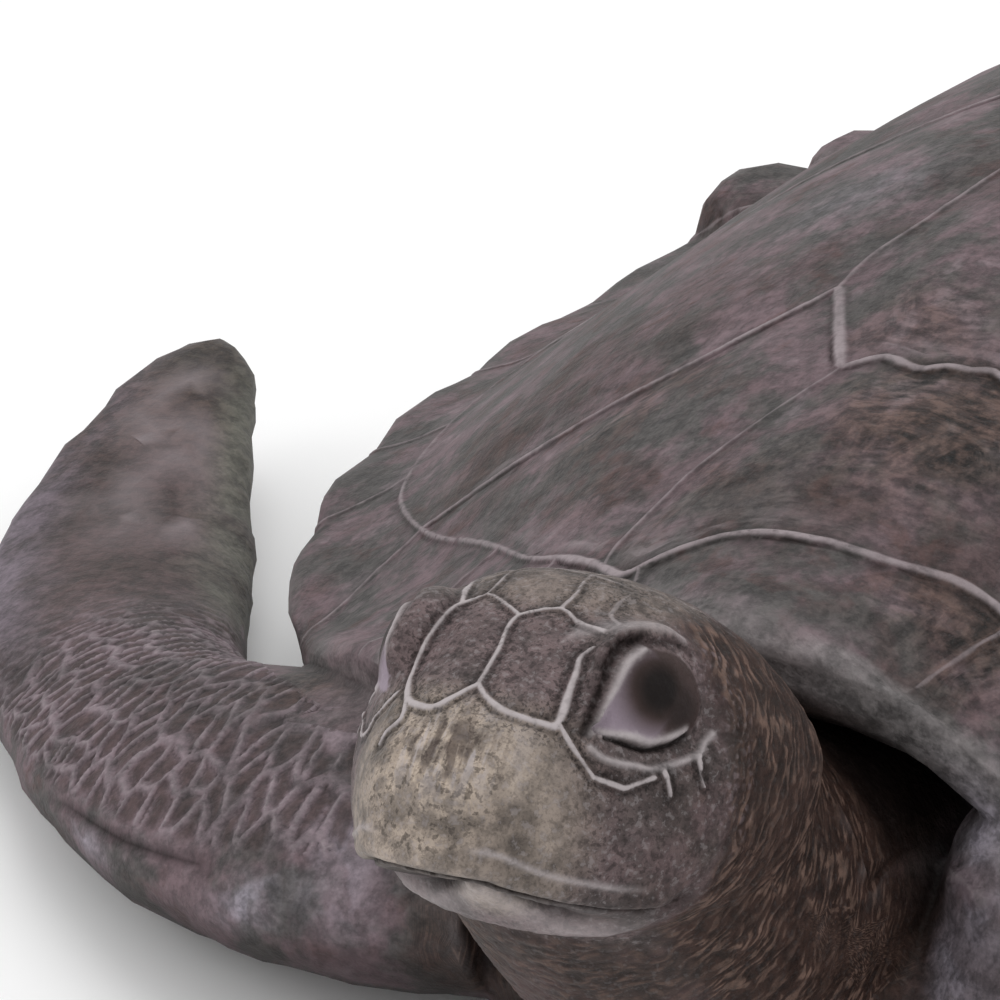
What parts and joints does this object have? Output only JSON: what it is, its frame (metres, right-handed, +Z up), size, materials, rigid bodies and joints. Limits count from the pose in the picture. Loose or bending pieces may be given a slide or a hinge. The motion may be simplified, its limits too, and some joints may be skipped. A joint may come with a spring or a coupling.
{
  "type": "sea turtle statue",
  "caption": "Life-size cast statue of a sea turtle crawling with its head raised, resting on its flat underside, fore flippers swept back.",
  "frame": {"origin": "middle of the flat underside of the plastron, on the ground plane", "axes": "+Z up, -Y the way the head points, +X the animal's left side"},
  "size_m": [1.0232, 1.1188, 0.2797],
  "materials": {
    "bronze": "matte brown-grey patina, raised edges rubbed paler, hollows nearly black"
  },
  "bodies": {
    "root": {"sea_turtle": "bronze"}
  },
  "joints": []
}
